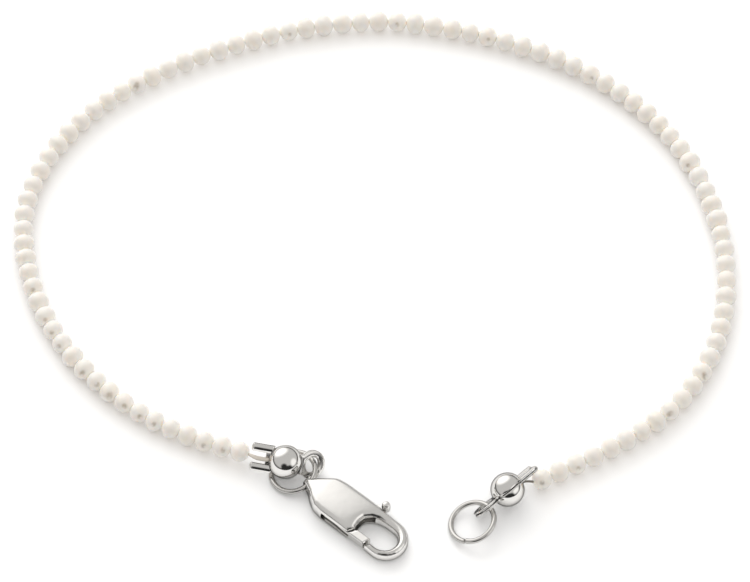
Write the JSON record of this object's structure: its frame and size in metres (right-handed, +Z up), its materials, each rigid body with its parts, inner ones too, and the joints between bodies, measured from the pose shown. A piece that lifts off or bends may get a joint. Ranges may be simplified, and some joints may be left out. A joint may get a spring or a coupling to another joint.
{
  "type": "bracelet",
  "caption": "Strand bracelet of small near-round pearls, laid open in a loop, with folded silver bead tips, two jump rings and a lobster clasp whose lever turns.",
  "frame": {"origin": "middle of the loop's bounding box, at the height of the surface it lies on", "axes": "+X along the loop's longer width, +Y away from the clasp, +Z up"},
  "size_m": [0.0684, 0.0618, 0.0035],
  "materials": {
    "pearl": "soft lustre",
    "silver": "polished"
  },
  "bodies": {
    "bracelet": {"pearl_string": "pearl", "bead_tip_left": "silver", "bead_tip_right": "silver", "jump_ring_left": "silver", "jump_ring_right": "silver", "clasp_body": "silver"},
    "lever": {"clasp_lever": "silver"}
  },
  "joints": [
    {"name": "lever_pivot", "type": "hinge", "parent": "bracelet", "child": "lever", "pos_m": [-0.0027, -0.02656, 0.00101], "axis": [0, 0, 1], "range_deg": [0, 15], "stiffness_Nm_per_rad": 0.0004, "springref_deg": -11.46}
  ]
}
